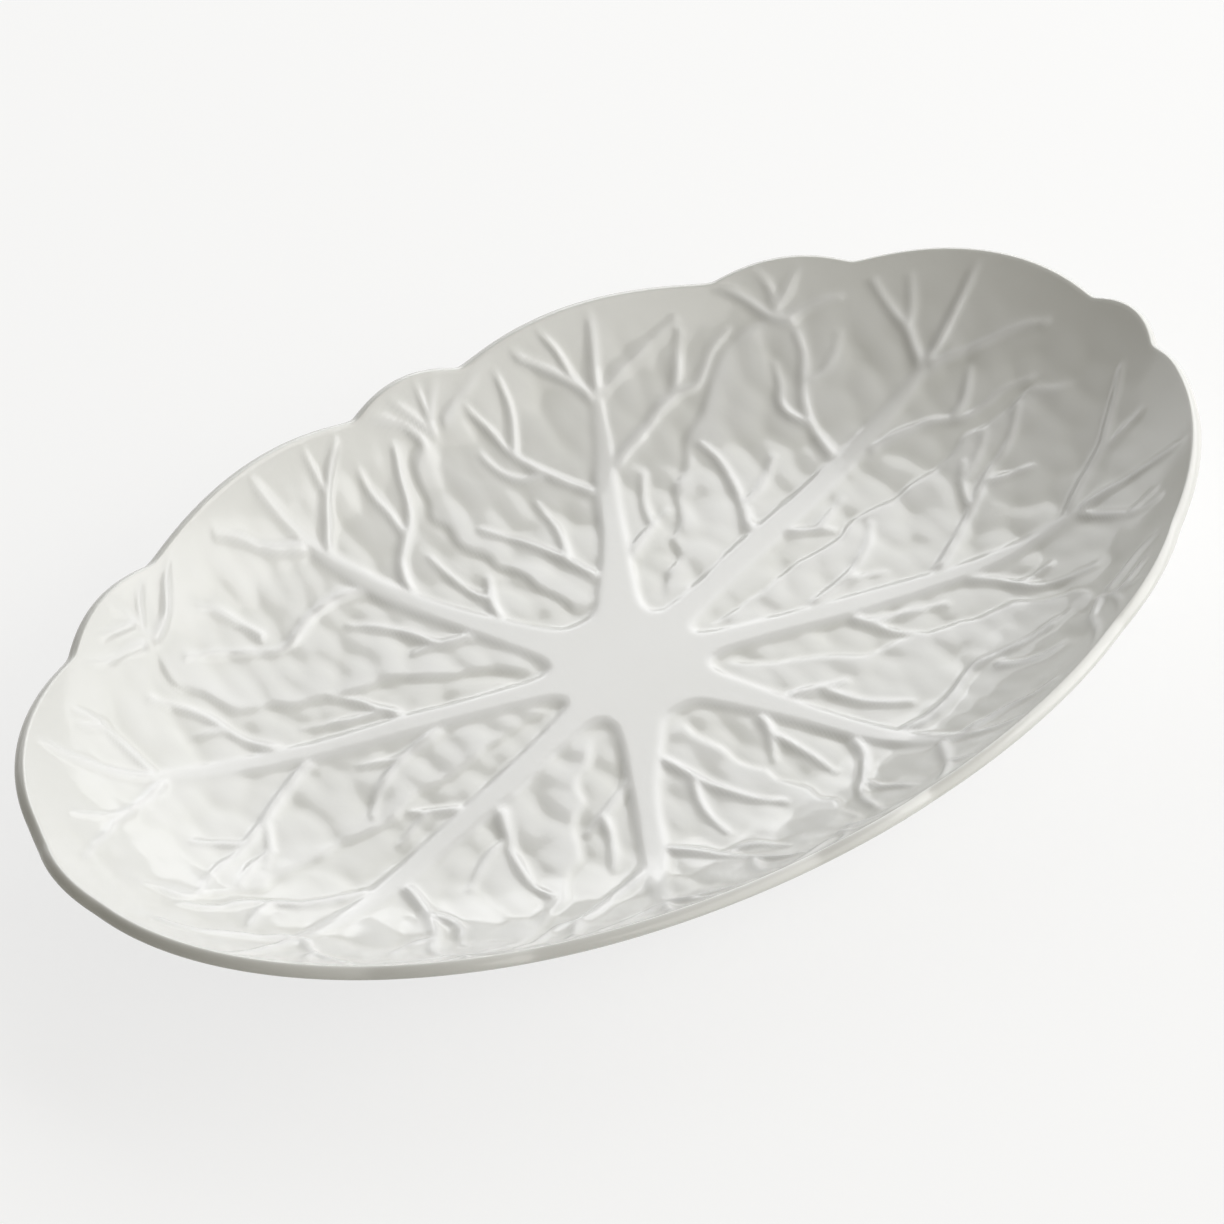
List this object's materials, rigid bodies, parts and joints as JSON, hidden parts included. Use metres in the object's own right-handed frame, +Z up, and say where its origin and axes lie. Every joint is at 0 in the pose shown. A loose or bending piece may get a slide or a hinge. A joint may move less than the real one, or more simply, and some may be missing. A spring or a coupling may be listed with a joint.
{
  "type": "oval leaf-moulded serving platter",
  "caption": "Oval glazed earthenware fish platter pressed with a leaf relief: ribs run from a round boss up a flared wall to a lobed rim, on an oval foot ring.",
  "frame": {"origin": "on the table, under the middle of the platter", "axes": "+X along the platter's length, +Y across it, +Z up"},
  "size_m": [0.4294, 0.2564, 0.0503],
  "materials": {
    "bare_clay": "fired cream earthenware, unglazed, dry and slightly grainy",
    "white_glaze": "ivory-white gloss glaze, thin on crests and pooled a little in the hollows"
  },
  "bodies": {
    "root": {"clay_body": "bare_clay", "foot_ring": "bare_clay", "leaf_glaze": "white_glaze", "back_glaze": "white_glaze", "foot_well_glaze": "white_glaze"}
  },
  "joints": []
}
